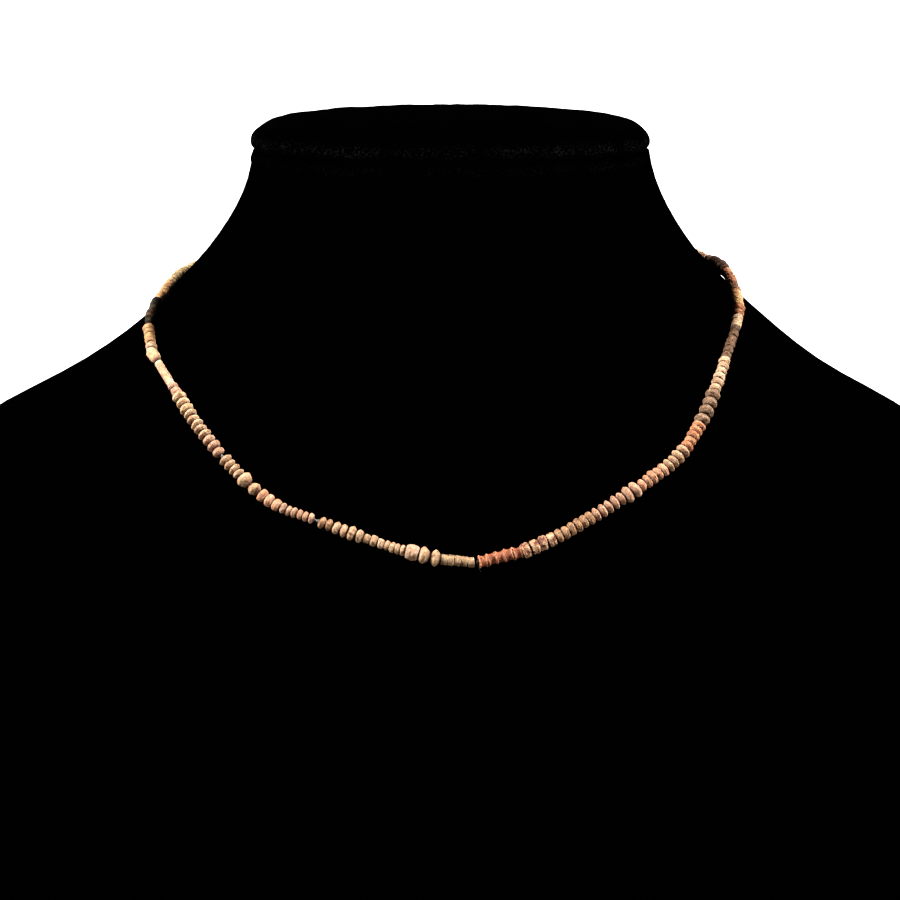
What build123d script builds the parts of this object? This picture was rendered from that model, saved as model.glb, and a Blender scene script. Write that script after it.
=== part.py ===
from build123d import *
from collections import namedtuple
import math
import os

# A string of terracotta beads on a plain neck bust. Millimetres, +Z up, front towards -Y.
# The origin is the middle of the bust's flat foot.

# Driving dimensions of the bust
seat_height = 238.5
girdle_height = 115.0
neck_width = 110.8
neck_depth = 100.0
neck_setback = 12.5
shoulder_width = 314.0
chest_depth = 145.0
foot_width = 288.0
cap_rim = 5.0
cap_crown = 7.0
cap_overhang = 0.6
cap_flat = 20.0
seat_gap = 0.1

# Driving dimensions of the string
bead_width = 4.0
bead_pitch = 2.0
bead_gap = 0.14
bore_clearance = 0.22
thread_diameter = 0.7
knot_length = 0.7
knot_clearance = 0.2
knot_diameter = 1.6
tail_diameter = 0.45
tail_spacing = 0.6
tail_drop = 2.1
tail_reach = 1.5
tail_pitch = 8.0
near_tail_lean = 34.0
far_tail_lean = 14.0

# Level sections of the bust above its girdle, from the girdle up to the neck's seat.
# rise: share of the height between girdle and seat; spread: share of the way from the neck's
# width to the shoulders'; swell: the same for the depth; setback: share of neck_setback.
Section = namedtuple("Section", "rise spread swell setback")
SECTIONS = [
    Section(0.000, 1.000, 0.911, 0.16),
    Section(0.121, 0.985, 0.867, 0.30),
    Section(0.243, 0.931, 0.778, 0.46),
    Section(0.364, 0.808, 0.656, 0.66),
    Section(0.486, 0.545, 0.489, 0.84),
    Section(0.607, 0.317, 0.333, 0.96),
    Section(0.737, 0.165, 0.178, 1.04),
    Section(0.866, 0.052, 0.067, 1.04),
    Section(1.000, 0.000, 0.000, 1.00),
]

# Seats of the string on the bust, from the knot round the left side and the nape.
# bearing: degrees round the neck, 0 at the front and positive to the right;
# level: share of seat_height; lift: share of bead_width, from the bust to the string's middle.
Seat = namedtuple("Seat", "bearing level lift")
ROUTE = [
    Seat(5.2, 0.565, 0.65),
    Seat(-0.4, 0.567, 0.70),
    Seat(-6.0, 0.573, 0.75),
    Seat(-11.9, 0.581, 0.65),
    Seat(-19.4, 0.595, 0.70),
    Seat(-27.0, 0.610, 0.60),
    Seat(-33.8, 0.623, 0.62),
    Seat(-39.5, 0.649, 0.72),
    Seat(-46.1, 0.682, 0.68),
    Seat(-52.7, 0.715, 0.70),
    Seat(-58.3, 0.741, 0.62),
    Seat(-65.2, 0.763, 0.60),
    Seat(-70.1, 0.779, 0.60),
    Seat(-75.9, 0.796, 0.60),
    Seat(-81.9, 0.816, 0.62),
    Seat(-90.0, 0.835, 0.57),
    Seat(-100.9, 0.849, 0.59),
    Seat(-115.0, 0.864, 0.64),
    Seat(-134.0, 0.875, 0.67),
    Seat(-154.0, 0.885, 0.67),
    Seat(-174.0, 0.889, 0.67),
    Seat(166.0, 0.890, 0.66),
    Seat(147.0, 0.888, 0.64),
    Seat(131.0, 0.883, 0.64),
    Seat(115.0, 0.876, 0.63),
    Seat(100.6, 0.861, 0.75),
    Seat(93.5, 0.849, 1.20),
    Seat(87.2, 0.833, 0.75),
    Seat(78.7, 0.815, 0.62),
    Seat(70.3, 0.794, 0.60),
    Seat(63.0, 0.770, 0.60),
    Seat(56.7, 0.741, 0.62),
    Seat(50.4, 0.706, 0.70),
    Seat(44.8, 0.673, 0.72),
    Seat(37.7, 0.645, 0.75),
    Seat(29.7, 0.618, 0.70),
    Seat(21.9, 0.593, 0.70),
    Seat(14.2, 0.576, 0.68),
    Seat(9.5, 0.570, 0.65),
]

# Shapes of the beads. near_end, waist and far_end: shares of the full radius at the ends and
# half-way between the ridges; ridge_from, ridge_to: where along the bead it is widest.
# Where both ridges are one, the bead is a single arc from end to end.
Shape = namedtuple("Shape", "near_end ridge_from waist ridge_to far_end")
SHAPES = {
    "segment": Shape(0.86, 0.15, 0.94, 0.85, 0.86),
    "ribbed": Shape(0.72, 0.09, 0.84, 0.91, 0.72),
    "drum": Shape(0.84, 0.22, 1.0, 0.78, 0.84),
    "round": Shape(0.62, 0.5, 1.0, 0.5, 0.62),
    "thin": Shape(0.74, 0.38, 1.0, 0.62, 0.74),
    "sharp": Shape(0.62, 0.45, 1.0, 0.55, 0.62),
    "bicone": Shape(0.52, 0.44, 1.0, 0.56, 0.52),
    "cone": Shape(0.58, 0.55, 1.0, 0.70, 0.80),
    "barrel": Shape(0.78, 0.5, 1.0, 0.5, 0.78),
    "tube": Shape(0.90, 0.04, 1.0, 0.96, 0.90),
}

# Runs of like beads from the knot outwards, on the left and on the right side.
# width: share of bead_width; pitch: share of bead_pitch that one bead, or a bare stretch, takes.
Run = namedtuple("Run", "count shape width pitch")
LEFT_RUNS = [
    Run(5, "segment", 0.78, 0.90),
    Run(1, "bicone", 1.15, 1.48),
    Run(1, "cone", 1.18, 1.50),
    Run(1, "barrel", 1.07, 1.85),
    Run(4, "drum", 0.75, 0.74),
    Run(3, "drum", 0.75, 0.99),
    Run(2, "round", 1.05, 1.12),
    Run(3, "round", 0.95, 1.07),
    Run(1, "round", 0.88, 0.88),
    Run(1, "bare", 0.00, 0.78),
    Run(6, "thin", 0.80, 0.81),
    Run(3, "drum", 0.82, 1.17),
    Run(1, "bicone", 1.05, 1.70),
    Run(1, "cone", 1.15, 1.80),
    Run(3, "round", 0.93, 0.88),
    Run(1, "cone", 0.97, 0.88),
    Run(1, "bare", 0.00, 0.60),
    Run(3, "round", 0.97, 1.15),
    Run(2, "round", 1.02, 1.00),
    Run(3, "round", 0.95, 0.95),
    Run(3, "round", 1.04, 1.18),
    Run(1, "barrel", 0.80, 1.30),
    Run(1, "thin", 0.72, 0.85),
    Run(1, "tube", 0.62, 5.30),
    Run(1, "bare", 0.00, 0.25),
    Run(1, "barrel", 0.82, 3.20),
    Run(1, "drum", 0.82, 1.20),
    Run(1, "bare", 0.00, 0.20),
    Run(4, "drum", 0.82, 1.07),
    Run(1, "thin", 0.65, 0.65),
    Run(1, "round", 0.75, 1.35),
    Run(1, "barrel", 0.80, 2.30),
    Run(1, "barrel", 0.82, 2.55),
    Run(1, "barrel", 0.80, 1.90),
    Run(14, "thin", 0.80, 0.99),
]
RIGHT_RUNS = [
    Run(5, "ribbed", 0.93, 1.19),
    Run(4, "round", 1.10, 1.23),
    Run(4, "drum", 0.97, 0.98),
    Run(2, "drum", 0.93, 0.93),
    Run(5, "sharp", 1.05, 1.00),
    Run(2, "round", 1.20, 1.25),
    Run(1, "round", 0.97, 1.00),
    Run(4, "drum", 0.97, 0.92),
    Run(2, "cone", 1.05, 0.90),
    Run(2, "round", 1.11, 1.10),
    Run(5, "drum", 0.93, 0.88),
    Run(4, "round", 1.09, 1.50),
    Run(6, "drum", 0.88, 1.06),
    Run(6, "drum", 0.78, 1.25),
    Run(1, "barrel", 0.80, 1.70),
    Run(1, "drum", 0.82, 1.40),
    Run(2, "round", 0.85, 1.45),
    Run(3, "drum", 0.82, 1.48),
    Run(2, "drum", 0.80, 1.25),
    Run(4, "thin", 0.82, 0.97),
    Run(2, "drum", 0.80, 1.15),
    Run(1, "barrel", 0.82, 2.15),
    Run(1, "drum", 0.80, 1.15),
    Run(2, "drum", 0.75, 0.95),
]
# The plain beads that fill the rest of the string, behind the neck
nape_bead = Run(1, "thin", 0.8, 1.25)


def section_face(section):
    width = neck_width + section.spread * (shoulder_width - neck_width)
    depth = neck_depth + section.swell * (chest_depth - neck_depth)
    height = girdle_height + section.rise * (seat_height - girdle_height)
    return Pos(0, section.setback * neck_setback, height) * Ellipse(width / 2, depth / 2)


def make_bust():
    shoulders = loft([section_face(section) for section in SECTIONS])
    foot = Ellipse(foot_width / 2, chest_depth / 2)
    torso = loft([foot, section_face(SECTIONS[0])])
    return shoulders + torso


def make_cap():
    rim_radius = neck_depth / 2 + cap_overhang
    crown_edge = rim_radius - cap_rim / 2
    flat_radius = cap_flat / 2
    cap_top = cap_rim + cap_crown
    side = ThreePointArc((crown_edge, 0), (rim_radius, cap_rim / 2), (crown_edge, cap_rim))
    crown = EllipticalCenterArc(
        (flat_radius, cap_rim), crown_edge - flat_radius, cap_crown, start_angle=0, arc_size=90
    )
    middle = Polyline((flat_radius, cap_top), (0, cap_top), (0, 0), (crown_edge, 0))
    turned = revolve(Plane.XZ * make_face(side + crown + middle), Axis.Z)
    oval = (neck_width / 2 + cap_overhang) / rim_radius
    return Pos(0, neck_setback, seat_height + seat_gap) * scale(turned, by=(oval, 1, 1))


def seat_point(bust, seat):
    turn = math.radians(seat.bearing)
    neck_middle = (0, neck_setback, seat.level * seat_height)
    outward = Axis(neck_middle, (math.sin(turn), -math.cos(turn), 0))
    point, normal = bust.find_intersection_points(outward)[-1]
    return point + normal * seat.lift * bead_width


def corner_radius(before, corner, after):
    turn = (corner - before).get_angle(after - corner)
    shorter_run = min((corner - before).length, (after - corner).length)
    return 0.45 * shorter_run / math.tan(math.radians(turn) / 2)


def string_path(bust):
    """The knot's middle, and the string's route round the neck from knot to knot."""
    seats = [seat_point(bust, seat) for seat in ROUTE]
    knot = seats[0]
    clear = knot_length / 2 + knot_clearance
    start = knot + (seats[1] - knot).normalized() * clear
    end = knot + (seats[-1] - knot).normalized() * clear
    corners = [start] + seats[1:] + [end]
    radii = [corner_radius(*trio) for trio in zip(corners, corners[1:], corners[2:])]
    print("thread arcs from", round(min(radii), 1), "mm radius")
    return knot, FilletPolyline(corners, radius=radii)


def make_thread(path):
    section = Plane(origin=path @ 0, z_dir=path % 0) * Circle(thread_diameter / 2)
    return sweep(section, path=path)


def make_tail(lean, side):
    """One end of the thread: down past the beads beside the knot, then to the right."""
    turn = math.radians(lean)
    root = Vector(0, side * tail_spacing / 2, 0)
    bend = root - Vector(0, 0, tail_drop)
    tip = bend + Vector(math.sin(turn), 0, -math.cos(turn)) * tail_reach
    path = FilletPolyline(root, bend, tip, radius=tail_diameter)
    return sweep(Plane(origin=root, z_dir=path % 0) * Circle(tail_diameter / 2), path=path)


def make_knot(knot):
    drum = Rot(0, 90, 0) * Cylinder(knot_diameter / 2, knot_length)
    lump = fillet(drum.edges().filter_by(GeomType.CIRCLE), 0.4 * knot_length)
    tied = lump + make_tail(near_tail_lean, -1) + make_tail(far_tail_lean, 1)
    return Pos(knot) * Rot(-tail_pitch, 0, 0) * tied


def bead_outline(shape, radius, half):
    """From the near end to the far end, at the radius from the string's middle."""
    near_end = (shape.near_end * radius, -half)
    far_end = (shape.far_end * radius, half)
    ridges = [(radius, (2 * ridge - 1) * half) for ridge in (shape.ridge_from, shape.ridge_to)]
    if ridges[0] == ridges[1]:
        return ThreePointArc(near_end, ridges[0], far_end)
    if shape.waist < 1:
        waist = (shape.waist * radius, (ridges[0][1] + ridges[1][1]) / 2)
        ridges.insert(1, waist)
    return Polyline(near_end, *ridges, far_end)


def make_bead(name, width, length, bore):
    shape = SHAPES[name]
    half = length / 2
    outside = bead_outline(shape, width / 2, half)
    inside = Polyline(outside @ 1, (bore / 2, half), (bore / 2, -half), outside @ 0)
    return revolve(Plane.XZ * make_face(outside + inside), Axis.Z)


def thread_bead(path, run, middle):
    """A bead of the run, drilled to clear the thread, at its place along the path."""
    pitch = run.pitch * bead_pitch
    width = run.width * bead_width
    marks = [(middle + share * pitch) / path.length for share in (-0.5, 0, 0.5)]
    near, centre, far = [path @ mark for mark in marks]
    bend = math.radians((path % marks[0]).get_angle(path % marks[2]))
    sag = pitch * bend / 8
    bore = thread_diameter + 2 * bore_clearance + sag
    bead = make_bead(run.shape, width, pitch - bead_gap - bend * width / 2, bore)
    origin = centre / 2 + (near + far) / 4
    return Plane(origin=origin, z_dir=far - near).location * bead


def run_length(runs):
    return sum(run.count * run.pitch for run in runs) * bead_pitch


def thread_runs(path, runs, start, direction):
    """The beads of the runs, one after another from the start, forwards or backwards."""
    beads = []
    reach = start
    for run in runs:
        for _ in range(run.count):
            middle = reach + direction * run.pitch * bead_pitch / 2
            if run.shape != "bare":
                beads.append(thread_bead(path, run, middle))
            reach += direction * run.pitch * bead_pitch
    return Compound(beads)


def nape_run(path):
    """Half of the plain beads that fill the string between the two charts."""
    half_length = (path.length - run_length(LEFT_RUNS) - run_length(RIGHT_RUNS)) / 2
    count = round(half_length / bead_pitch / nape_bead.pitch)
    return nape_bead._replace(count=count, pitch=half_length / count / bead_pitch)


def save(name, shape):
    export_step(shape, f"parts/{name}.step")


os.makedirs("parts", exist_ok=True)
bust = make_bust()
knot, path = string_path(bust)
nape = [nape_run(path)]
save("bust", bust)
save("bust_cap", make_cap())
save("thread", make_thread(path))
save("knot", make_knot(knot))
save("beads_left", thread_runs(path, LEFT_RUNS + nape, 0, 1))
save("beads_right", thread_runs(path, RIGHT_RUNS + nape, path.length, -1))
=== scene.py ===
# %% [markdown]
# # A terracotta necklace on a velvet bust
# The real thing is one strand of small handmade clay beads on a thin pale thread. A black velvet
# display bust wears it. The exact model gives every bead's place, so this lesson reads the places
# from it and dresses them: rough turned clay for the beads, pile for the velvet.

import math
import random
from collections import namedtuple

import bpy
import numpy as np
from mathutils import Matrix, Vector


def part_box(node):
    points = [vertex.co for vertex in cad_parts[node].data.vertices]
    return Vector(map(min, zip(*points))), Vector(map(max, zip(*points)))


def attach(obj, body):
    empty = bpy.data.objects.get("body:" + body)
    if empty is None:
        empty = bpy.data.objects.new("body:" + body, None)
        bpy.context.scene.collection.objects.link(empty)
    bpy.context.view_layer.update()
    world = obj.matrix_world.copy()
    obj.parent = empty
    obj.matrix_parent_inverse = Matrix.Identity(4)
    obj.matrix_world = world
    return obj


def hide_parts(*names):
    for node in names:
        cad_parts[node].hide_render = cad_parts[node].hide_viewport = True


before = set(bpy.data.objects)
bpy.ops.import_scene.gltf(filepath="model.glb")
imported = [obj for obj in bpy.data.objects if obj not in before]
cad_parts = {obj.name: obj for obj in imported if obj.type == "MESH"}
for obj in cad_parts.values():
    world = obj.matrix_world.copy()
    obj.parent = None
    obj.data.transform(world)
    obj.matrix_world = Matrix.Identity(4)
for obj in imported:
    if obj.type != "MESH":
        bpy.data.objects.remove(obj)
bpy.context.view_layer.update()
MM = 0.001

# %% [markdown]
# ## Small helpers
# Every piece takes the same few steps of a modeller's work: select part of a mesh, trace a form
# ring by ring, apply a modifier, join parts. Each could be written out again every time, but the
# cells below read better when each step has one name.

# %% Helpers for selecting


def start_edit(kind, action):
    """Starts edit mode for vertices or edges, with everything selected or nothing."""
    bpy.ops.object.mode_set(mode="EDIT")
    bpy.ops.mesh.select_mode(type=kind)
    bpy.ops.mesh.select_all(action=action)


def select_edges(piece, wanted):
    """Selects the edges that are wanted, judged by their two ends. Starts edit mode."""
    start_edit("EDGE", "DESELECT")
    bpy.ops.object.mode_set(mode="OBJECT")
    for edge in piece.data.edges:
        edge.select = wanted(*[piece.data.vertices[index].co for index in edge.vertices])
    bpy.ops.object.mode_set(mode="EDIT")


def select_region(piece, inside):
    """Selects the edges whose two ends both lie inside a region. Starts edit mode."""
    select_edges(piece, lambda foot, head: inside(foot) and inside(head))


# %% Helpers for forms


def bridge_open_ends():
    """Joins the two open rings of the active mesh with a band of faces. Starts edit mode."""
    start_edit("EDGE", "DESELECT")
    bpy.ops.mesh.select_non_manifold()
    bpy.ops.mesh.bridge_edge_loops()


def face_outwards():
    """Turns all the faces outwards, and ends edit mode."""
    bpy.ops.mesh.select_all(action="SELECT")
    bpy.ops.mesh.normals_make_consistent(inside=False)
    bpy.ops.object.mode_set(mode="OBJECT")


def settle():
    """Makes the active piece's place, turn and scale a part of its mesh."""
    bpy.ops.object.transform_apply(location=True, rotation=True, scale=True)


def traced_form(name, sides, rings, y=0.0):
    """An open form, extruded from ring to ring. Each is a radius and a height. Starts edit mode."""
    radius, height = rings[0]
    bpy.ops.mesh.primitive_circle_add(vertices=sides, radius=radius, location=(0, y, height))
    piece = bpy.context.object
    piece.name = name
    start_edit("VERT", "SELECT")
    for new_radius, new_height in rings[1:]:
        grow = new_radius / radius
        bpy.ops.mesh.extrude_region_move(
            TRANSFORM_OT_translate={"value": (0, 0, new_height - height)}
        )
        bpy.ops.transform.resize(value=(grow, grow, 1), center_override=(0, y, new_height))
        radius, height = new_radius, new_height
    return piece


def apply_modifier(piece, kind, **settings):
    bpy.context.view_layer.objects.active = piece
    modifier = piece.modifiers.new(kind.lower(), kind)
    for name, value in settings.items():
        setattr(modifier, name, value)
    bpy.ops.object.modifier_apply(modifier=modifier.name)


def roughen(piece, name, depth, grain):
    """Pushes the surface in and out by a cloudy noise of that grain."""
    clouds = bpy.data.textures.new(name, "CLOUDS")
    clouds.noise_scale = grain
    apply_modifier(piece, "DISPLACE", texture=clouds, strength=depth, mid_level=0.5)


# %% Helpers for finished pieces


def join(name, parts):
    """Joins the parts into one piece of that name."""
    bpy.ops.object.select_all(action="DESELECT")
    for part in parts:
        part.select_set(True)
    bpy.context.view_layer.objects.active = parts[0]
    bpy.ops.object.join()
    parts[0].name = name
    return parts[0]


def dress(piece, material):
    """Shades the selected piece smoothly and gives it its material."""
    bpy.ops.object.shade_smooth()
    piece.data.materials.append(material)


def hand_over(piece, slot, *nodes):
    """The finished piece rides on the model's only body and stands for the nodes."""
    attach(piece, "root")
    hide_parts(*nodes)


# %% Helpers for materials


def paint(red, green, blue):
    """A colour given from 0 to 255, as in a paint program, in the linear light Blender mixes."""
    return tuple((part / 255) ** 2.2 for part in (red, green, blue))


def set_sockets(node, sockets):
    for name, value in sockets.items():
        node.inputs[name.replace("_", " ")].default_value = value


def new_material(name, **sockets):
    """A material and its Principled shader, with the shader's sockets set by name."""
    material = bpy.data.materials.new(name)
    material.use_nodes = True
    shader = material.node_tree.nodes["Principled BSDF"]
    set_sockets(shader, sockets)
    return material, shader


def add_node(material, kind, **sockets):
    """A node of that kind, with its input sockets set by name."""
    node = material.node_tree.nodes.new("ShaderNode" + kind)
    set_sockets(node, sockets)
    return node


def link(material, source, target):
    material.node_tree.links.new(source, target)


# %% Helpers for colours and relief


def texture(material, kind, output, **sockets):
    """One output of a texture that is fixed to the object's own coordinates."""
    node = add_node(material, "Tex" + kind, **sockets)
    place = add_node(material, "TexCoord")
    link(material, place.outputs["Object"], node.inputs["Vector"])
    return node.outputs[output]


def mix_colours(material, first, second, factor):
    """A mix of two colours, each a socket or a fixed colour."""
    mix = add_node(material, "Mix")
    mix.data_type = "RGBA"
    link(material, factor, mix.inputs["Factor"])
    for index, colour in ((6, first), (7, second)):
        if isinstance(colour, tuple):
            mix.inputs[index].default_value = (*colour, 1)
        else:
            link(material, colour, mix.inputs[index])
    return mix.outputs[2]


def rescale(material, value, low, high, new_low=0.0, new_high=1.0):
    """Stretches the part of a value between low and high over the new range."""
    node = add_node(
        material, "MapRange", From_Min=low, From_Max=high, To_Min=new_low, To_Max=new_high
    )
    link(material, value, node.inputs["Value"])
    return node.outputs["Result"]


def point_note(material, name):
    """The number stored on the mesh's points under that name."""
    note = add_node(material, "Attribute")
    note.attribute_name = name
    return note.outputs["Fac"]


def work_out(material, operation, *values):
    """A Math node on sockets and fixed numbers."""
    node = add_node(material, "Math")
    node.operation = operation
    for socket, value in zip(node.inputs, values):
        if isinstance(value, (int, float)):
            socket.default_value = value
        else:
            link(material, value, socket)
    return node.outputs[0]


def finish_material(material, shader, colour, relief, strength, depth):
    """Gives the shader its colour, and a bump that follows the relief."""
    link(material, colour, shader.inputs["Base Color"])
    bump = add_node(material, "Bump", Strength=strength, Distance=depth)
    link(material, relief, bump.inputs["Height"])
    link(material, bump.outputs["Normal"], shader.inputs["Normal"])


# %% [markdown]
# ## Camera
# The photograph looks a little down on the bust from the front, with a long lens. The camera's
# distance and field come from the neck's width in the picture. The lens looks at a point just
# above the girdle, half-way between the front and the middle of the neck.

# %% Camera
CAMERA_TILT = math.radians(9)
CAMERA_DISTANCE = 1190 * MM
CAMERA_FIELD = math.radians(11.96)
LOOK_AT = Vector((0, -17.5, 157.74)) * MM

behind = Vector((0, -math.cos(CAMERA_TILT), math.sin(CAMERA_TILT)))
bpy.ops.object.camera_add(
    location=LOOK_AT + behind * CAMERA_DISTANCE,
    rotation=(math.pi / 2 - CAMERA_TILT, 0, 0),
)
camera = bpy.context.object
camera.data.angle = CAMERA_FIELD
bpy.context.scene.camera = camera
print("the camera stands", round(camera.location.z / MM), "mm above the floor")

# %% [markdown]
# ## Stage
# A product photograph like this one is taken on a white paper sweep: a floor that curves up into
# the wall, so no line shows behind the object. Two separate planes would leave that line. One
# plane, whose back edge is extruded upwards and bevelled, bends as the paper does.

# %% White sweep
SWEEP_WIDTH = 16.0
SWEEP_DEPTH = 13.0
SWEEP_BACK = 5.0
SWEEP_RISE = 4.0
SWEEP_BEND = 1.0
BEND_STEPS = 16
NEAR = 0.01

bpy.ops.mesh.primitive_plane_add(size=1, location=(0, SWEEP_BACK - SWEEP_DEPTH / 2, 0))
sweep = bpy.context.object
sweep.name = "paper_sweep"
sweep.scale = (SWEEP_WIDTH, SWEEP_DEPTH, 1)
settle()
select_region(sweep, lambda point: point.y > SWEEP_BACK - NEAR)
bpy.ops.mesh.extrude_region_move(TRANSFORM_OT_translate={"value": (0, 0, SWEEP_RISE)})
select_region(sweep, lambda point: point.y > SWEEP_BACK - NEAR and point.z < NEAR)
bpy.ops.mesh.bevel(offset=SWEEP_BEND, segments=BEND_STEPS, affect="EDGES")
bpy.ops.object.mode_set(mode="OBJECT")
print("the sweep has", len(sweep.data.polygons), "faces")

# %% [markdown]
# ## White paper
# In the photograph the background is burnt out to white. Lamps on the whole sweep could do that,
# but their light would also come up at the beads from below. So only paper far behind the object
# glows, by itself, and the paper round the object stays duller.

# %% Glow of the paper
PAPER_TONE = 0.30
# A glow starts at one distance from its centre and is full at another. All in metres.
Glow = namedtuple("Glow", "centre start full strength")
GLOWS = [Glow((0, 0, 0), 0.25, 0.9, 0.36), Glow((0, -3.0, 0), 3.5, 4.1, 1.0)]

paper, paper_shader = new_material(
    "white_paper", Base_Color=(PAPER_TONE, PAPER_TONE, PAPER_TONE, 1), Roughness=0.9,
    Emission_Color=(1, 1, 1, 1),
)
paper_place = add_node(paper, "TexCoord").outputs["Object"]
growths = []
for glow in GLOWS:
    distance = add_node(paper, "VectorMath")
    distance.operation = "DISTANCE"
    distance.inputs[1].default_value = glow.centre
    link(paper, paper_place, distance.inputs[0])
    growth = rescale(paper, distance.outputs["Value"], glow.start, glow.full, 0, glow.strength)
    growth.node.interpolation_type = "SMOOTHSTEP"
    growths.append(growth)
link(paper, work_out(paper, "ADD", *growths), paper_shader.inputs["Emission Strength"])
dress(sweep, paper)
print("the paper glows in", len(growths), "steps")

# %% [markdown]
# ## Lamps
# In the photograph the outer side of every bead is bright, and its other side and underside are
# nearly black. Light from all round would flatten that. Two softboxes high at the left and the
# right give it. Each has a grid, which keeps its light on the object and off the paper. A weak one
# over the camera opens the shade a little. The print is hard as well: its blacks are deep and its
# whites burnt out.

# %% Softboxes
GRID_SPREAD = math.radians(40)
AIR_LIGHT = 0.008
Lamp = namedtuple("Lamp", "name place size power")
LAMPS = [
    Lamp("left_softbox", (-1.08, -0.34, 1.02), 0.30, 1.52),
    Lamp("right_softbox", (1.08, -0.34, 1.02), 0.30, 1.38),
    Lamp("front_softbox", (0, -1.0, 0.95), 0.40, 0.01),
]
for lamp in LAMPS:
    aim = (LOOK_AT - Vector(lamp.place)).to_track_quat("-Z", "Y")
    bpy.ops.object.light_add(type="AREA", location=lamp.place, rotation=aim.to_euler())
    light = bpy.context.object
    light.name = lamp.name
    light.data.size = lamp.size
    light.data.energy = lamp.power
    light.data.spread = GRID_SPREAD

world = bpy.data.worlds.new("studio_air")
bpy.context.scene.world = world
world.use_nodes = True
set_sockets(world.node_tree.nodes["Background"], {"Color": (1, 1, 1, 1), "Strength": AIR_LIGHT})
bpy.context.scene.view_settings.view_transform = "Standard"
bpy.context.scene.view_settings.look = "High Contrast"
print("lamps:", [lamp.name for lamp in LAMPS])

# %% [markdown]
# ## Velvet
# Velvet is a dense pile of short black threads. Seen straight on, light falls in between them and
# is lost. Seen along the surface, their sides catch the light, and that is what the sheen lobe of
# the shader does. Real hairs would be far too many. Where the cloth is rolled over an edge the
# pile opens and single threads catch the light. That shine is painted into the colour as grey
# specks, a painted highlight. How much each place gets is stored on the mesh as a note.

# %% Velvet material
VELVET_DARK = (0.0001, 0.0001, 0.0001)
VELVET_PALE = (0.0006, 0.0005, 0.0006)
# Colour of the painted highlight: single threads of pile catching the light.
PAINTED_SPECK = (0.028, 0.024, 0.027)
PILE_DEPTH = 0.4 * MM

velvet, velvet_shader = new_material(
    "black_velvet", Roughness=1.0, Specular_IOR_Level=0.0, Sheen_Weight=0.005,
    Sheen_Roughness=0.25, Sheen_Tint=(0.95, 0.88, 1.0, 1),
)
pile = texture(velvet, "Noise", "Fac", Scale=1500, Detail=3)
nap = texture(velvet, "Noise", "Fac", Scale=90, Detail=4)
nap_share = rescale(velvet, nap, 0.40, 0.62)
velvet_colour = mix_colours(velvet, VELVET_DARK, VELVET_PALE, nap_share)
# Grey specks of painted highlight go where the note on the mesh says the pile catches the light.
speck_share = rescale(velvet, pile, 0.47, 0.70)
patches = rescale(velvet, nap, 0.36, 0.60, 0.35, 1)
glint_mask = work_out(velvet, "MULTIPLY", point_note(velvet, "brushed"), speck_share)
specks = work_out(velvet, "MULTIPLY", glint_mask, patches)
velvet_colour = mix_colours(velvet, velvet_colour, PAINTED_SPECK, specks)
finish_material(velvet, velvet_shader, velvet_colour, pile, 0.7, PILE_DEPTH)
print("the velvet has", len(velvet.node_tree.nodes), "nodes")

# %% [markdown]
# ## Velvet cover
# The bust is a stuffed form with velvet drawn over it. The exact form is plain and has flat facets
# where it was measured, so a thickened copy of it would show them. An upright sleeve of fine
# squares is shrunk straight inwards on to it instead, with a Shrinkwrap modifier, and smoothed.

# %% Sleeve
SLEEVE_SIDES = 160
SLEEVE_STEPS = 60
SLEEVE_ROOM = 1.1
CLEAR_OF_ENDS = 0.1 * MM
COVER_OFFSET = 0.05 * MM
SMOOTHING = 0.5
SMOOTHING_ROUNDS = 4

bust_low, bust_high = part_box("bust")
cap_low, cap_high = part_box("bust_cap")
cap_centre = (cap_low + cap_high) / 2
sleeve_depth = bust_high.z - bust_low.z - 2 * CLEAR_OF_ENDS
bpy.ops.mesh.primitive_cylinder_add(
    vertices=SLEEVE_SIDES, radius=bust_high.x * SLEEVE_ROOM, depth=sleeve_depth,
    end_fill_type="NOTHING", location=(0, cap_centre.y, (bust_low.z + bust_high.z) / 2),
)
cover = bpy.context.object
cover.name = "velvet_cover"
settle()
select_edges(cover, lambda foot, head: abs(foot.z - head.z) > sleeve_depth / 2)
bpy.ops.mesh.subdivide(number_cuts=SLEEVE_STEPS - 1)
bpy.ops.object.mode_set(mode="OBJECT")
apply_modifier(
    cover, "SHRINKWRAP", target=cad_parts["bust"], wrap_method="PROJECT",
    use_negative_direction=True, use_positive_direction=False, offset=COVER_OFFSET,
)
select_region(cover, lambda point: bust_low.z + MM < point.z < bust_high.z - MM)
bpy.ops.mesh.vertices_smooth(factor=SMOOTHING, repeat=SMOOTHING_ROUNDS)
bpy.ops.object.mode_set(mode="OBJECT")
print("the sleeve has", len(cover.data.polygons), "faces")

# %% [markdown]
# ## Hand-drawn form
# A stuffed form is never the same on both sides. The real one is a little fuller high on its right
# side. On its left it is drawn in below the cap and a little fuller on the shoulder. Proportional
# editing pulls the sleeve there, as a hand would, and a slow noise gives the drawn cloth its
# unevenness. Both ends are then closed.

# %% Pulls
CLOTH_DEPTH = 0.4 * MM
CLOTH_GRAIN = 30 * MM
LEVEL_SLACK = 0.01 * MM
# place: where the cloth is gripped; move: how far it is pulled; reach: how far round it gives way;
# all in millimetres.
Pull = namedtuple("Pull", "place move reach")
PULLS = [
    Pull((57, 14, 224), (0.7, 0, 0), 34),
    Pull((88, 14, 190), (1.2, 0, 1.5), 32),
    Pull((75, 14, 203), (0.12, 0, 0.16), 12),
    Pull((120, 14, 170), (0.15, 0, 0.2), 22),
    Pull((-123, 14, 167), (-0.2, 0, 0.3), 18),
    Pull((-60, 14, 222), (0.25, 0, 0), 34),
    Pull((-77, 14, 202), (-0.35, 0, 0.3), 10),
]


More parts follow.
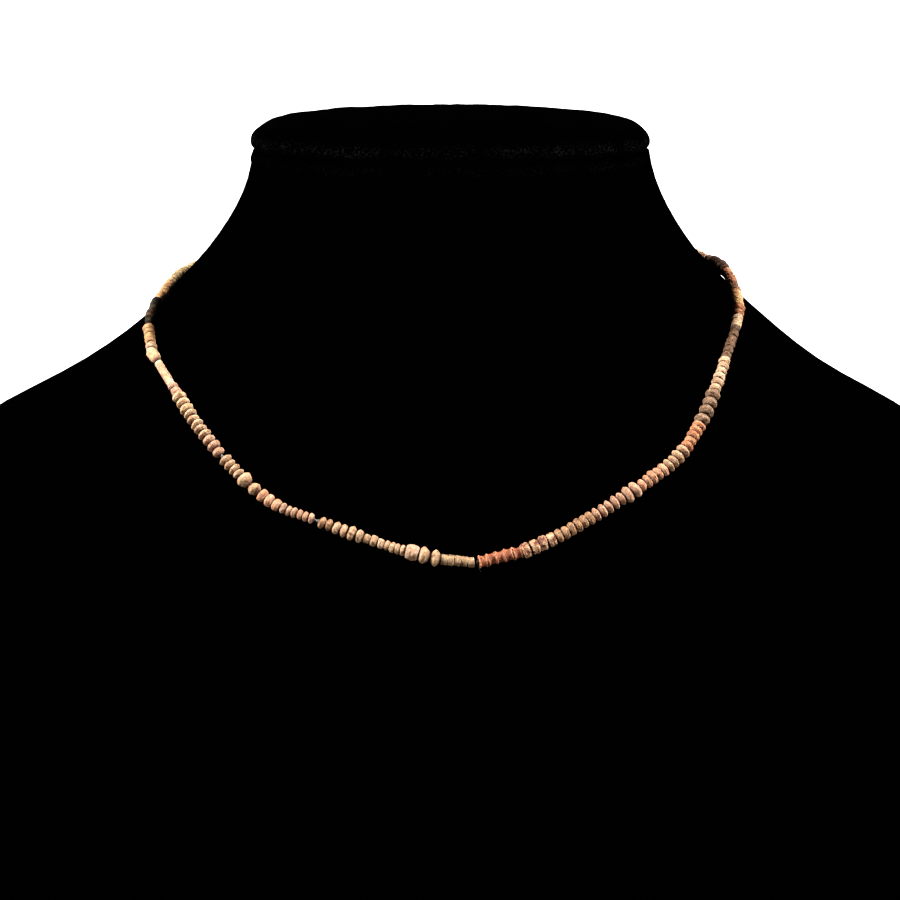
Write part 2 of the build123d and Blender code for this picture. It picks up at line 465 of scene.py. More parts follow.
def grow_by_hand(piece, pull):
    """Moves the point nearest the pull's place, and those round it less and less."""
    spot = Vector(pull.place) * MM
    start_edit("VERT", "DESELECT")
    bpy.ops.object.mode_set(mode="OBJECT")
    nearest = min(piece.data.vertices, key=lambda vertex: (vertex.co - spot).length)
    nearest.select = True
    bpy.ops.object.mode_set(mode="EDIT")
    bpy.ops.transform.translate(
        value=Vector(pull.move) * MM, use_proportional_edit=True,
        proportional_edit_falloff="SMOOTH", proportional_size=pull.reach * MM,
    )


def close_end(piece, level):
    """Fills the open ring at that level of the piece's mesh with one face. Starts edit mode."""
    select_region(piece, lambda point: abs(point.z - level) < LEVEL_SLACK)
    bpy.ops.mesh.edge_face_add()


for pull in PULLS:
    grow_by_hand(cover, pull)
for level in (bust_low.z + CLEAR_OF_ENDS, bust_high.z - CLEAR_OF_ENDS):
    close_end(cover, level)
face_outwards()
roughen(cover, "drawn_cloth", CLOTH_DEPTH, CLOTH_GRAIN)
dress(cover, velvet)
hand_over(cover, "velvet", "bust")
print("the cover has", len(cover.data.polygons), "faces and is",
      [round(side / MM, 1) for side in cover.dimensions], "mm")

# %% [markdown]
# ## Rolls round the neck
# Two soft rolls of cloth go round the neck: the rim of the lid on top, and a gather under it.
# A plain cylinder with a bevel would be too even for either. A ring is traced up the roll instead,
# as a potter would, and slow and quick noises then give it slack waves and creases.

# %% Rings round the neck
NECK_SIDES = 180
WAVE_GRAIN = 14 * MM
CREASE_GRAIN = 3 * MM
# inset: how far inside the lid's widest line; rise: height over its seat; both in millimetres.
# The third column is how much painted highlight of shining pile the ring gets, from 0 to 1.
Ring = namedtuple("Ring", "inset rise brushed")
cap_reach = (cap_high - cap_low) / 2


def rings_round_neck(name, rings):
    """An oval form traced ring by ring round the neck, from the first ring to the last."""
    stations = [(cap_reach.y - ring.inset * MM, cap_low.z + ring.rise * MM) for ring in rings]
    piece = traced_form(name, NECK_SIDES, stations, cap_centre.y)
    bpy.ops.mesh.select_all(action="SELECT")
    oval = cap_reach.x / cap_reach.y
    bpy.ops.transform.resize(value=(oval, 1, 1), center_override=piece.location)
    bpy.ops.object.mode_set(mode="OBJECT")
    settle()
    apply_modifier(piece, "SUBSURF", levels=1, render_levels=1)
    return piece


def finish_velvet(piece, rings, waves, creases):
    """Rumples the closed form, and stores how much painted highlight its pile gets. Ends edit mode.
    """
    face_outwards()
    heights = np.array([cap_low.z + ring.rise * MM for ring in rings])
    shares = np.array([ring.brushed for ring in rings])
    order = np.argsort(heights)
    levels = [vertex.co.z for vertex in piece.data.vertices]
    note = piece.data.attributes.new("brushed", "FLOAT", "POINT")
    note.data.foreach_set("value", np.interp(levels, heights[order], shares[order]))
    roughen(piece, piece.name + "_waves", waves, WAVE_GRAIN)
    roughen(piece, piece.name + "_creases", creases, CREASE_GRAIN)
    dress(piece, velvet)
    print(piece.name, "has", len(piece.data.polygons), "faces")


print("the lid reaches", round(cap_reach.x / MM, 1), "mm from its middle to each side")

# %% [markdown]
# ## Neck cap
# The top of the bust is a flat padded lid, with the velvet pulled over its edge and tucked in
# below. The rings go from its seat up over the rim and in over the crown. A face at each end
# closes it.

# %% Neck cap
CAP_RINGS = [
    Ring(3.0, 0.2, 0.0),
    Ring(1.2, 0.3, 0.0),
    Ring(0.3, 1.0, 0.5),
    Ring(-0.1, 2.0, 1.0),
    Ring(0.0, 3.4, 0.9),
    Ring(0.7, 4.8, 0.2),
    Ring(1.9, 6.2, 0.0),
    Ring(3.8, 7.5, 0.0),
    Ring(6.2, 8.6, 0.02),
    Ring(10.0, 9.4, 0.06),
    Ring(17.0, 10.1, 0.06),
    Ring(27.0, 10.4, 0.06),
    Ring(38.0, 10.6, 0.06),
]
CAP_WAVES = 0.9 * MM
CAP_CREASES = 0.35 * MM

cap = rings_round_neck("velvet_cap", CAP_RINGS)
for ring in (CAP_RINGS[0], CAP_RINGS[-1]):
    close_end(cap, cap_low.z + ring.rise * MM)
finish_velvet(cap, CAP_RINGS, CAP_WAVES, CAP_CREASES)
hand_over(cap, "velvet", "bust_cap")

# %% [markdown]
# ## Gather under the cap
# Below the lid the cloth of the neck is gathered and stands out in one flat roll. It is traced
# like the lid, from inside the neck's surface out over the roll and back in, and its two open
# ends are bridged inside the neck, where nobody sees them.

# %% Gather
GATHER_RINGS = [
    Ring(1.6, -4.6, 0.0),
    Ring(0.4, -4.2, 0.1),
    Ring(0.1, -3.3, 0.3),
    Ring(0.0, -2.2, 0.4),
    Ring(0.2, -1.1, 0.2),
    Ring(0.6, -0.4, 0.0),
    Ring(2.4, 0.1, 0.0),
]
GATHER_WAVES = 0.6 * MM
GATHER_CREASES = 0.5 * MM

gather = rings_round_neck("velvet_gather", GATHER_RINGS)
bridge_open_ends()
finish_velvet(gather, GATHER_RINGS, GATHER_WAVES, GATHER_CREASES)
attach(gather, "root")

# %% [markdown]
# ## Where the beads are
# On a real strand each bead sits where its neighbours push it. Placing copies along a curve would
# need the same route worked out again. The exact model already holds each half of the string as
# one mesh of loose, drilled beads. A merged copy is split into its loose parts, and going from
# each part to the nearest one that is left follows the string from the knot.

# %% Beads in order
MERGE_DISTANCE = 0.001 * MM
knot_low, knot_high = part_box("knot")
knot_middle = (knot_low + knot_high) / 2


def split_copy(node):
    """The loose parts of a copy of the node, each as an array of its points."""
    copy = node.copy()
    copy.data = node.data.copy()
    bpy.context.collection.objects.link(copy)
    bpy.ops.object.select_all(action="DESELECT")
    copy.hide_set(False)
    copy.select_set(True)
    bpy.context.view_layer.objects.active = copy
    start_edit("VERT", "SELECT")
    bpy.ops.mesh.remove_doubles(threshold=MERGE_DISTANCE)
    bpy.ops.mesh.separate(type="LOOSE")
    bpy.ops.object.mode_set(mode="OBJECT")
    parts = list(bpy.context.selected_objects)
    clouds = [np.array([vertex.co for vertex in part.data.vertices]) for part in parts]
    for part in parts:
        bpy.data.objects.remove(part)
    return clouds


def follow_string(clouds, start):
    """The parts in their order along the string, from the one nearest the start."""
    left = list(clouds)
    order = []
    here = np.array(start)
    while left:
        gaps = [np.linalg.norm(cloud.mean(axis=0) - here) for cloud in left]
        cloud = left.pop(int(np.argmin(gaps)))
        here = cloud.mean(axis=0)
        order.append(cloud)
    return order


left_clouds, right_clouds = [
    follow_string(split_copy(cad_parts[name]), knot_middle)
    for name in ("beads_left", "beads_right")
]
print("beads:", len(left_clouds), "on the left,", len(right_clouds), "on the right")

# %% [markdown]
# ## Size and lean of each bead
# A bead's hole points along the thread, so it lies on the line between the bead's neighbours.
# Its width and length are measured across and along that line, so no list of sizes is needed.

# %% Bead places
Place = namedtuple("Place", "middle axis width length")


def measure_bead(cloud, axis):
    """A bead's middle, width and length, measured along and across its hole."""
    heart = cloud.mean(axis=0)
    along = (cloud - heart) @ axis
    across = (cloud - heart) - np.outer(along, axis)
    middle = heart + axis * (along.max() + along.min()) / 2
    width = 2 * np.linalg.norm(across, axis=1).max()
    return Place(Vector(middle), Vector(axis), width, along.max() - along.min())


def bead_places(clouds):
    hearts = [cloud.mean(axis=0) for cloud in clouds]
    places = []
    for index, cloud in enumerate(clouds):
        before = hearts[max(index - 1, 0)]
        after = hearts[min(index + 1, len(hearts) - 1)]
        axis = (after - before) / np.linalg.norm(after - before)
        places.append(measure_bead(cloud, axis))
    return places


left_places = bead_places(left_clouds)
right_places = bead_places(right_clouds)
widths = [place.width / MM for place in left_places + right_places]
print("beads are", round(min(widths), 1), "to", round(max(widths), 1), "mm wide")

# %% [markdown]
# ## How the string lies
# A real string does not follow a worked-out route to the tenth of a millimetre. Seen from the
# front it lies a hair further out on the shoulders and closer in where it turns behind the neck.
# Each place is moved by that much across the string, in the picture's plane.

# %% Small shifts
# reach: length of string from the knot; out: how far it lies outside the route; in millimetres.
Shift = namedtuple("Shift", "reach out")
LEFT_SHIFTS = [
    Shift(0, 0.1), Shift(40, 0.0), Shift(65, 0.3), Shift(95, 0.4), Shift(112, 0.6),
    Shift(127, 0.25), Shift(140, 0.2), Shift(146, -0.2), Shift(151, -0.7), Shift(158, -0.9),
    Shift(164, -0.5), Shift(168, -0.5), Shift(173, -0.9), Shift(180, -1.1), Shift(200, 0.0),
]
RIGHT_SHIFTS = [
    Shift(0, 0.1), Shift(40, 0.0), Shift(58, 0.2), Shift(80, 0.15), Shift(92, 0.0),
    Shift(100, -0.25), Shift(115, -0.3), Shift(126, -0.4), Shift(134, -0.65), Shift(141, -0.8),
    Shift(144, -0.95), Shift(148, -1.4), Shift(153, -1.3), Shift(160, -0.95), Shift(170, -0.9),
    Shift(190, 0.0),
]


def shifted(places, shifts, side):
    """The places with their shifts. side is 1 where the string goes left from the knot, or -1."""
    reach = 0
    moved = []
    for index, place in enumerate(places):
        reach += (place.middle - places[max(index - 1, 0)].middle).length / MM
        out = np.interp(reach, [shift.reach for shift in shifts], [shift.out for shift in shifts])
        outward = (place.axis.cross(-behind) * side).normalized()
        moved.append(place._replace(middle=place.middle + outward * float(out) * MM))
    return moved


left_places = shifted(left_places, LEFT_SHIFTS, 1)
right_places = shifted(right_places, RIGHT_SHIFTS, -1)
shift_sizes = [shift.out for shift in LEFT_SHIFTS + RIGHT_SHIFTS]
print("the string lies", min(shift_sizes), "to", max(shift_sizes), "mm outside its route")

# %% [markdown]
# ## Outlines of the beads
# Old clay beads were rolled or turned round a straw and pierced while soft. A turned thing is
# known by its outline, so each kind of bead is one short list, from one end of the hole to the
# other.

# %% Bead outlines
# Each station is a share of the bead's radius and a place along it from -1 to 1.
OUTLINES = {
    "segment": [(0.84, -1), (0.95, -0.98), (1.06, -0.66), (0.94, -0.10), (1.00, 0.40),
                (0.99, 0.90), (0.86, 1)],
    "ribbed": [(0.58, -1), (0.98, -1.04), (1.12, -0.90), (0.93, -0.62), (0.80, -0.2),
               (0.80, 0.30), (0.88, 0.70), (1.00, 0.92), (0.92, 1.02), (0.56, 1.0)],
    "drum": [(0.42, -1), (0.72, -0.92), (0.93, -0.66), (1.03, -0.24), (1.03, 0.24),
             (0.93, 0.66), (0.72, 0.92), (0.42, 1)],
    "round": [(0.42, -1), (0.64, -0.88), (0.86, -0.54), (1.03, -0.14), (1.03, 0.16),
              (0.86, 0.56), (0.64, 0.88), (0.42, 1)],
    "lobed": [(0.46, -1), (0.80, -0.92), (1.02, -0.60), (0.88, -0.14), (1.06, 0.36),
              (0.86, 0.86), (0.46, 1)],
    "thin": [(0.46, -1), (0.76, -0.82), (1.03, -0.26), (1.03, 0.26), (0.76, 0.82), (0.46, 1)],
    "sharp": [(0.44, -1), (0.66, -0.82), (0.86, -0.34), (1.07, 0.06), (1.07, 0.22),
              (0.78, 0.72), (0.44, 1)],
    "bicone": [(0.42, -1), (0.68, -0.72), (0.98, -0.16), (1.05, 0.06), (0.98, 0.24),
               (0.64, 0.78), (0.40, 1)],
    "cone": [(0.42, -1), (0.66, -0.80), (0.88, -0.28), (1.07, 0.22), (0.98, 0.58),
             (0.70, 0.92), (0.46, 1)],
    "barrel": [(0.54, -1), (0.82, -0.95), (0.98, -0.66), (1.03, -0.2), (1.03, 0.2),
               (0.98, 0.66), (0.82, 0.95), (0.56, 1)],
    "broken": [(0.50, -1), (0.62, -0.72), (0.90, -0.56), (1.00, -0.20), (1.03, 0.20),
               (0.98, 0.66), (0.82, 0.95), (0.56, 1)],
    "tube": [(0.66, -1), (0.94, -0.98), (1.02, -0.85), (0.97, -0.30), (0.99, 0.30),
             (1.02, 0.85), (0.94, 0.98), (0.68, 1)],
}
print("outlines:", list(OUTLINES))

# %% [markdown]
# ## One turned bead
# A ring of the hole's size is extruded from station to station along the outline, and the two ends
# of the hole are bridged, so that the bead is drilled through without any cutting. One level of
# subdivision rounds it. The beads behind the neck are plain and go without it. Each point
# remembers how far along the bead it is, for the clay's worn rims, and how far from the hole, for
# soil and painted shade near it.

# %% Turning a bead
HOLE = 1.0 * MM
BEAD_SIDES = 16


def note_places(bead, half, radius):
    """Stores how far along the bead each point is, from -1 to 1, and how far out, from 0 to 1."""
    points = [vertex.co for vertex in bead.data.vertices]
    notes = {
        "along": [point.z / half for point in points],
        "reach": [math.hypot(point.x, point.y) / radius for point in points],
    }
    for name, values in notes.items():
        note = bead.data.attributes.new(name, "FLOAT", "POINT")
        note.data.foreach_set("value", values)


def turned_bead(shape, width, length, rounded):
    """A drilled bead round the Z axis, with its middle at the origin."""
    radius, half = width / 2, length / 2
    outline = [(share * radius, place * half) for share, place in OUTLINES[shape]]
    bead = traced_form("bead", BEAD_SIDES, [(HOLE / 2, -half), *outline, (HOLE / 2, half)])
    bridge_open_ends()
    face_outwards()
    settle()
    if rounded:
        apply_modifier(bead, "SUBSURF", levels=1, render_levels=1)
    note_places(bead, half, radius)
    return bead


print("beads are turned with", BEAD_SIDES, "sides")

# %% [markdown]
# ## Colours of the clay
# A strand like this was put together from many firings. A picture could carry its colours, but it
# would fit one bead only. Each clay is written down as four paints instead: its pale and its deep
# colour, its chalky rim and its brown stain.

# %% Clays
# stained, pitted: how much of the bead stains and pits cover, from 0 to 1.
# dents: how deep the hand and wear have dented beads of that clay, in millimetres.
Clay = namedtuple("Clay", "pale deep rim stain stained pitted dents")
CLAYS = {
    "cream": Clay((236, 200, 154), (200, 152, 106), (248, 226, 192), (112, 62, 38),
                  stained=0.56, pitted=0.60, dents=0.34),
    "biscuit": Clay((202, 164, 120), (158, 116, 76), (230, 202, 162), (88, 46, 26),
                    stained=0.84, pitted=0.90, dents=0.24),
    "tan": Clay((230, 188, 142), (190, 144, 102), (246, 222, 190), (120, 72, 46),
                stained=0.34, pitted=0.45, dents=0.34),
    "rose": Clay((228, 180, 142), (190, 136, 98), (244, 222, 198), (120, 66, 42),
                 stained=0.34, pitted=0.45, dents=0.34),
    "sand": Clay((204, 154, 106), (154, 106, 66), (234, 198, 156), (94, 58, 38),
                 stained=0.36, pitted=0.50, dents=0.34),
    "brick": Clay((208, 124, 68), (150, 74, 36), (236, 166, 122), (84, 42, 20),
                  stained=0.40, pitted=0.45, dents=0.22),
    "orange": Clay((228, 158, 100), (192, 114, 64), (248, 212, 170), (124, 60, 32),
                   stained=0.30, pitted=0.40, dents=0.36),
    "crumb": Clay((230, 176, 130), (192, 126, 84), (248, 214, 184), (124, 62, 38),
                  stained=0.36, pitted=0.60, dents=0.60),
    "peach": Clay((232, 172, 126), (202, 130, 86), (248, 222, 190), (126, 66, 40),
                  stained=0.30, pitted=0.40, dents=0.30),
    "ash": Clay((182, 144, 110), (134, 100, 72), (220, 188, 154), (84, 60, 44),
                stained=0.40, pitted=0.50, dents=0.40),
    "mauve": Clay((156, 116, 82), (96, 68, 46), (192, 150, 112), (58, 42, 30),
                  stained=0.40, pitted=0.60, dents=0.44),
    "honey": Clay((242, 206, 154), (206, 158, 106), (250, 230, 190), (118, 66, 38),
                  stained=0.40, pitted=0.50, dents=0.34),
    "straw": Clay((228, 196, 134), (180, 140, 84), (246, 226, 180), (108, 68, 30),
                  stained=0.34, pitted=0.40, dents=0.30),
    "amber": Clay((232, 176, 106), (188, 128, 68), (248, 218, 166), (92, 54, 22),
                  stained=0.36, pitted=0.45, dents=0.36),
    "umber": Clay((98, 64, 40), (46, 28, 16), (148, 108, 72), (16, 10, 6),
                  stained=0.40, pitted=0.40, dents=0.30),
    "olive": Clay((70, 58, 32), (28, 23, 12), (112, 94, 56), (12, 10, 5),
                  stained=0.36, pitted=0.40, dents=0.26),
    "russet": Clay((216, 140, 76), (164, 92, 40), (240, 186, 126), (86, 42, 22),
                   stained=0.36, pitted=0.45, dents=0.36),
    "walnut": Clay((170, 112, 74), (118, 74, 46), (204, 154, 114), (56, 34, 24),
                   stained=0.36, pitted=0.50, dents=0.34),
    "spotted": Clay((234, 184, 136), (184, 124, 82), (250, 220, 180), (104, 38, 24),
                    stained=0.84, pitted=0.90, dents=0.40),
}
print("clays:", list(CLAYS))

# %% [markdown]
# ## Fired clay
# Terracotta is matt and never one colour. The fire leaves paler and darker clouds, the hole's rims
# are chalky with wear, iron leaves brown stains, and bits of straw and grit that burnt out leave
# pits. Each bead also has a tone of its own, stored on the bead, because no two were fired alike.
# One noise would look like one cause, so each cause is a coat of its own, laid over the last.
# Towards the hole the clay is darkened with its stain colour: soil, and painted shade in the
# grooves between beads.

# %% Clay material
# A skin of grey dust takes a little strength and brightness from every colour.
DUST_STRENGTH = 0.88
DUST_TONE = 0.90
# Turning left marks round the bead that wander a little. Lumps lie under them.
MARK_TURNS = 11
MARK_WANDER = 9
MARK_DEPTH = 0.22
LUMP_DEPTH = 1.6
RELIEF_DEPTH = 0.18 * MM
# A coat goes from its least to its most where its value goes from low to high.
Coat = namedtuple("Coat", "colour value low high least most")


def lay_coats(material, colour, coats):
    """The colour with the coats laid over it, one after another."""
    for coat in coats:
        share = rescale(material, coat.value, coat.low, coat.high, coat.least, coat.most)
        colour = mix_colours(material, colour, paint(*coat.colour), share)
    return colour


def clay_material(name, clay):
    material, shader = new_material(name + "_clay", Roughness=0.62, Specular_IOR_Level=0.4)
    clouds = texture(material, "Noise", "Fac", Scale=620, Detail=3, Roughness=0.6)
    mottle = texture(material, "Noise", "Fac", Scale=1200, Detail=2, Roughness=0.5)
    stains = texture(material, "Noise", "Fac", Scale=430, Detail=3, Distortion=0.6)
    grit = texture(material, "Noise", "Fac", Scale=2600, Detail=2, Roughness=0.7)
    pits = texture(material, "Voronoi", "Distance", Scale=1150, Randomness=1.0)
    tone, along, reach = [point_note(material, note) for note in ("tone", "along", "reach")]
    from_middle = work_out(material, "ABSOLUTE", along)
    # The more stained or pitted a clay is, the more of the noise counts as stain or pit.
    stain_edge = 0.74 - 0.26 * clay.stained
    pit_edge = 0.1 + 0.16 * clay.pitted
    pit_share = rescale(material, pits, 0.05, pit_edge, 1, 0)

    colour = lay_coats(material, paint(*clay.pale), [
        Coat(clay.deep, clouds, 0.36, 0.66, 0, 1),  # clouds of the fire
        Coat(clay.deep, tone, 0, 1, 0, 0.6),  # the bead's own tone
        Coat(clay.rim, from_middle, 0.60, 0.95, 0, 0.6),  # worn ends
        Coat(clay.rim, mottle, 0.52, 0.68, 0, 0.5),  # chalk on the high spots
        Coat(clay.stain, mottle, 0.44, 0.30, 0, 0.35),  # dirt in the hollows
        Coat(clay.stain, grit, 0.54, 0.72, 0, 0.25),  # grit
        Coat(clay.stain, reach, 0.55, 0.88, 0.9, 0),  # soil and painted shade towards the hole, darkening the grooves between beads
        Coat(clay.stain, stains, stain_edge, stain_edge + 0.09, 0, 0.8),  # iron stains
    ])
    colour = mix_colours(material, colour, paint(*clay.stain), pit_share)
    dust = add_node(material, "HueSaturation", Saturation=DUST_STRENGTH, Value=DUST_TONE)
    link(material, colour, dust.inputs["Color"])

    wander = work_out(material, "MULTIPLY", clouds, MARK_WANDER)
    turns = work_out(material, "MULTIPLY_ADD", along, MARK_TURNS, wander)
    marks = work_out(material, "SINE", turns)
    relief = work_out(material, "MULTIPLY_ADD", marks, MARK_DEPTH, grit)
    relief = work_out(material, "MULTIPLY_ADD", mottle, LUMP_DEPTH, relief)
    relief = work_out(material, "SUBTRACT", relief, pit_share)
    finish_material(material, shader, dust.outputs["Color"], relief, 0.9, RELIEF_DEPTH)
    return material


clay_materials = {name: clay_material(name, clay) for name, clay in CLAYS.items()}
print("clay materials:", len(clay_materials))

# %% [markdown]
# ## The order of the string
# A strand like this is read as a list: so many beads of one shape and one clay, then the next
# kind. Placing beads by eye would lose count. The charts go from the knot outwards, as a stringer
# would lay them out. What is left behind the neck is a plain mixture.

# %% Left chart
# girth: how much wider than in the exact model the beads of the run are.
Run = namedtuple("Run", "count shape clay girth", defaults=[1.0])
LEFT_CHART = [
    Run(5, "segment", "biscuit"),
    Run(1, "bicone", "cream"),
    Run(1, "cone", "cream"),
    Run(1, "barrel", "rose"),
    Run(4, "drum", "tan"),
    Run(3, "drum", "tan"),
    Run(2, "round", "cream"),
    Run(2, "round", "tan"),
    Run(2, "round", "sand"),
    Run(6, "thin", "rose"),
    Run(3, "drum", "peach", 1.16),
    Run(1, "bicone", "cream", 0.94),
    Run(1, "cone", "cream", 0.92),
    Run(3, "round", "tan"),
    Run(1, "cone", "tan"),
    Run(3, "round", "rose"),
    Run(5, "round", "cream"),
    Run(3, "round", "honey"),
    Run(1, "barrel", "rose"),
    Run(1, "thin", "rose"),
    Run(1, "tube", "tan"),
    Run(1, "broken", "honey"),
    Run(1, "drum", "tan"),
    Run(4, "drum", "amber"),
    Run(1, "thin", "umber"),
    Run(1, "round", "olive"),
    Run(1, "barrel", "umber"),
    Run(1, "barrel", "olive"),
    Run(1, "barrel", "amber"),
    Run(4, "thin", "amber", 1.14),
    Run(10, "thin", "straw", 1.14),
]
LEFT_NAPE_CHART = [
    Run(10, "thin", "tan"),
    Run(8, "thin", "sand"),
    Run(16, "thin", "rose"),
]
print("the left charts name", sum(run.count for run in LEFT_CHART + LEFT_NAPE_CHART), "beads")

# %% Right chart
RIGHT_CHART = [
    Run(5, "ribbed", "brick"),
    Run(4, "lobed", "spotted"),
    Run(6, "drum", "sand"),
    Run(5, "sharp", "rose"),
    Run(2, "round", "rose"),
    Run(1, "round", "peach"),
    Run(4, "drum", "crumb"),
    Run(2, "cone", "tan"),
    Run(2, "round", "tan"),
    Run(5, "drum", "orange"),
    Run(4, "round", "ash"),
    Run(6, "drum", "tan"),
    Run(6, "drum", "mauve", 0.92),
    Run(1, "barrel", "tan"),
    Run(1, "drum", "tan"),
    Run(2, "round", "russet"),
    Run(3, "drum", "amber"),
    Run(2, "drum", "walnut"),
    Run(4, "thin", "russet", 1.05),
    Run(2, "drum", "umber", 1.3),
    Run(1, "barrel", "umber", 1.25),
    Run(1, "drum", "walnut", 1.08),
    Run(2, "drum", "sand"),
]
RIGHT_NAPE_CHART = [
    Run(12, "thin", "tan"),
    Run(9, "thin", "sand"),
    Run(13, "thin", "peach"),
]
print("the right charts name", sum(run.count for run in RIGHT_CHART + RIGHT_NAPE_CHART), "beads")

# %% [markdown]
# ## Stringing
# No two beads of a run are quite alike, but turning each by itself would be slow. Each starts as a
# copy of the run's turned bead. It is made a little wider or narrower, leaned over, slipped
# sideways and turned by chance, and moved to its place. It is longer by the gap that the exact
# model leaves, so neighbours touch. The chances come from a fixed seed, so the string is the same
# every time.

# %% Stringing the beads
SNUG = 0.14 * MM
GIRTHS = (0.90, 1.02)
OUT_OF_ROUND = (0.95, 1.05)
LEAN = 8
SLIP = 0.1
chance = random.Random(7)
beads_by_clay = {name: [] for name in CLAYS}


def string_bead(master, place):
    """A copy of the bead at its place, with the small faults of handwork."""
    bead = master.copy()
    bead.data = master.data.copy()
    tone = bead.data.attributes.new("tone", "FLOAT", "POINT")
    tone.data.foreach_set("value", [chance.random()] * len(bead.data.vertices))
    girth = chance.uniform(*GIRTHS)
    swell = Matrix.Diagonal((girth * chance.uniform(*OUT_OF_ROUND), girth, 1, 1))
    lean = Matrix.Rotation(math.radians(chance.uniform(-LEAN, LEAN)), 4, "X")
    spin = Matrix.Rotation(chance.uniform(0, 2 * math.pi), 4, "Z")
    aside = [chance.uniform(-SLIP, SLIP) * MM for _ in range(2)]
    slip = Matrix.Translation((*aside, 0))
    along = place.axis.to_track_quat("Z", "Y").to_matrix().to_4x4()
    bead.data.transform(Matrix.Translation(place.middle) @ along @ slip @ spin @ lean @ swell)
    return bead


def string_run(run, places, rounded):
    width = run.girth * sum(place.width for place in places) / len(places)
    length = sum(place.length for place in places) / len(places) + SNUG
    master = turned_bead(run.shape, width, length, rounded)
    for place in places:
        beads_by_clay[run.clay].append(string_bead(master, place))
    bpy.data.objects.remove(master)


def string_side(chart, nape_chart, places):
    """Strings the runs of both charts, one after another, on the places of one side."""
    reached = 0
    for runs, rounded in ((chart, True), (nape_chart, False)):
        for run in runs:
            string_run(run, places[reached:reached + run.count], rounded)
            reached += run.count
    print("the charts hold", reached, "beads for", len(places), "places")


string_side(LEFT_CHART, LEFT_NAPE_CHART, left_places)
string_side(RIGHT_CHART, RIGHT_NAPE_CHART, right_places)

# %% [markdown]
# ## Marks of the hand
# Fingers, wear and a rough clay leave dents and a grainy skin on every bead. Sculpting them bead by
# bead would be slow. The beads of one clay become one piece instead, and two noises of different
# grain go over it, so each bead gets its own part of them.

# %% One piece for each clay
DENT_GRAIN = 1.2 * MM
SKIN_DEPTH = 0.13 * MM
SKIN_GRAIN = 0.45 * MM

for name, beads in beads_by_clay.items():
    for bead in beads:
        bpy.context.collection.objects.link(bead)
    piece = join("beads_" + name, beads)
    roughen(piece, name + "_dents", CLAYS[name].dents * MM, DENT_GRAIN)
    roughen(piece, name + "_skin", SKIN_DEPTH, SKIN_GRAIN)
    dress(piece, clay_materials[name])
    hand_over(piece, "clay", "beads_left", "beads_right")
    print(piece.name, len(beads), "beads,", len(piece.data.polygons), "faces")

# %% [markdown]
# ## Line
# The thread is a dull, slightly see-through fibre. Clear glass would shine too much, so only part
# of the light goes through, and a fine noise makes the fibres paler and darker.

# %% Line material and curves
FIBRE_SHADE = 0.55
FIBRE_DEPTH = 0.05 * MM
THREAD_TURN = 5.2


def line_material(name, colour, clearness):
    """A dull fibre that lets some light through."""
    material, shader = new_material(name, Roughness=0.42, Transmission_Weight=clearness)
    fibres = texture(material, "Noise", "Fac", Scale=2400, Detail=3)
    fibre_share = rescale(material, fibres, 0.35, 0.65)
    darker = tuple(part * FIBRE_SHADE for part in colour)
    fibre_colour = mix_colours(material, darker, colour, fibre_share)
    finish_material(material, shader, fibre_colour, fibres, 0.5, FIBRE_DEPTH)
    return material


def curve_object(name, points, radius, **settings):
    """A smooth curve through the neighbourhood of the points, with that bevel."""
    curve = bpy.data.curves.new(name, "CURVE")
    curve.dimensions = "3D"
    curve.bevel_depth = radius
    for key, value in settings.items():
        setattr(curve, key, value)
    spline = curve.splines.new("NURBS")
    spline.points.add(len(points) - 1)
    for index, (point, control) in enumerate(zip(points, spline.points)):
        control.co = (*point, 1)
        control.tilt = index * THREAD_TURN
    spline.order_u = 3
    spline.use_endpoint_u = True
    piece = bpy.data.objects.new(name, curve)
    bpy.context.collection.objects.link(piece)
    return piece


def curve_to_mesh(piece):
    bpy.ops.object.select_all(action="DESELECT")
    piece.select_set(True)
    bpy.context.view_layer.objects.active = piece
    bpy.ops.object.convert(target="MESH")
    return bpy.context.object


dull = line_material("dull_line", paint(196, 196, 186), 0.25)
frayed = line_material("frayed_line", paint(92, 92, 74), 0.15)
print("lines:", dull.name, "and", frayed.name)

# %% [markdown]
# ## Thread
# The thread shows only in the few gaps between beads, as two plies twisted round each other. Two
# curves could be wound by hand, but one is enough: it runs through the middles of all the beads,
# and its section has two lobes. Turning the section a little further at every bead lays the plies
# round each other.

# %% Thread
PLY_RADIUS = 0.27 * MM
WAIST = 0.5
SECTION_STEPS = 4
THREAD_STEPS = 10

bpy.ops.curve.primitive_bezier_circle_add(radius=2 * PLY_RADIUS)
plies = bpy.context.object
plies.data.resolution_u = SECTION_STEPS
for point in plies.data.splines[0].bezier_points:
    if abs(point.co.x) < PLY_RADIUS:
        for end in (point.co, point.handle_left, point.handle_right):
            end.y *= WAIST

string_middles = [place.middle for place in left_places]
string_middles += [place.middle for place in reversed(right_places)]
thread = curve_object(
    "twisted_thread", string_middles, 0, bevel_mode="OBJECT", bevel_object=plies,
    resolution_u=THREAD_STEPS, use_fill_caps=True,
)
thread = curve_to_mesh(thread)
bpy.data.objects.remove(plies)
dress(thread, dull)
hand_over(thread, "line", "thread")
print("the thread has", len(thread.data.polygons), "faces")

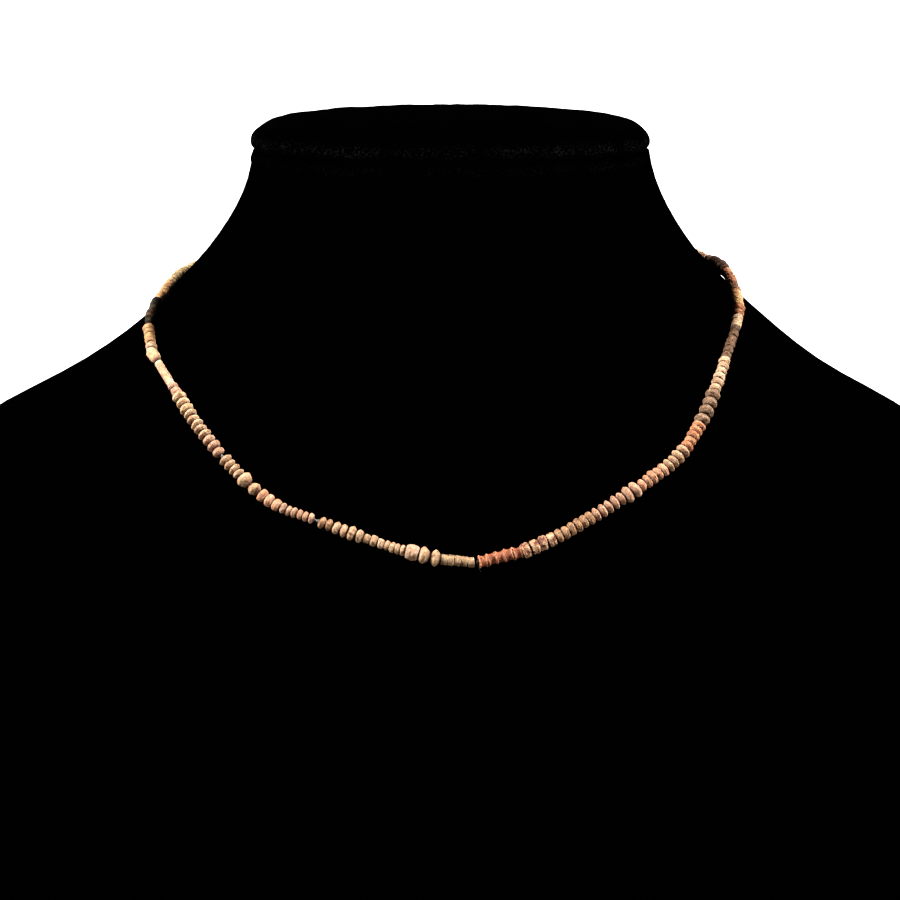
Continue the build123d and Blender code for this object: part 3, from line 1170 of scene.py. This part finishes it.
# %% [markdown]
# ## Knot
# At the front the line is tied in one small knot. Its two ends were cut short and have frayed into
# grey hairs. At this size a truly tied curve can't be told from a tangle, so the knot is two small
# rings of line laid through each other.

# %% Knot
KNOT_TURN = 0.42 * MM
KNOT_LINE = 0.20 * MM
KNOT_TILTS = (25, -65)
knot_heart = Vector((knot_middle.x, knot_low.y + KNOT_TURN, knot_high.z - 2 * KNOT_TURN))
knot_pieces = []
for tilt in KNOT_TILTS:
    bpy.ops.mesh.primitive_torus_add(
        major_radius=KNOT_TURN, minor_radius=KNOT_LINE, major_segments=20, minor_segments=8,
        location=knot_heart, rotation=(math.radians(tilt), math.radians(90), 0),
    )
    settle()
    knot_pieces.append(bpy.context.object)
print("the knot has", len(knot_pieces), "turns")

# %% [markdown]
# ## Frayed ends
# Each hair is a thin curve that leaves the knot downwards and drifts to the right. A hair particle
# system would be heavy for five hairs.

# %% Frayed ends
HAIRS = 5
HAIR_RADIUS = 0.05 * MM
HAIR_STEPS = 6
# How far the hairs spread, drop and drift, in millimetres.
ROOT_SPREAD = 0.2
ROOT_DROP = -0.3
BEND_DRIFT, BEND_DROP = (-0.1, 0.3), (-1.3, -0.9)
TIP_DRIFT, TIP_DROP = (0.1, 0.9), (-1.3, -0.7)

for hair_index in range(HAIRS):
    spread = [chance.uniform(-ROOT_SPREAD, ROOT_SPREAD) for _ in range(2)]
    root = knot_heart + Vector((*spread, ROOT_DROP)) * MM
    bend = root + Vector((chance.uniform(*BEND_DRIFT), 0, chance.uniform(*BEND_DROP))) * MM
    tip = bend + Vector((chance.uniform(*TIP_DRIFT), 0, chance.uniform(*TIP_DROP))) * MM
    hair = curve_object(
        "hair", [root, bend, tip], HAIR_RADIUS, use_fill_caps=True, resolution_u=HAIR_STEPS
    )
    knot_pieces.append(curve_to_mesh(hair))
    drop = knot_heart.z - tip.z
    print("hair", hair_index + 1, "ends", round(drop / MM, 1), "mm below the knot's middle")
tied_knot = join("tied_knot", knot_pieces)
dress(tied_knot, frayed)
hand_over(tied_knot, "line", "knot")
print("the knot and its hairs have", len(tied_knot.data.polygons), "faces")
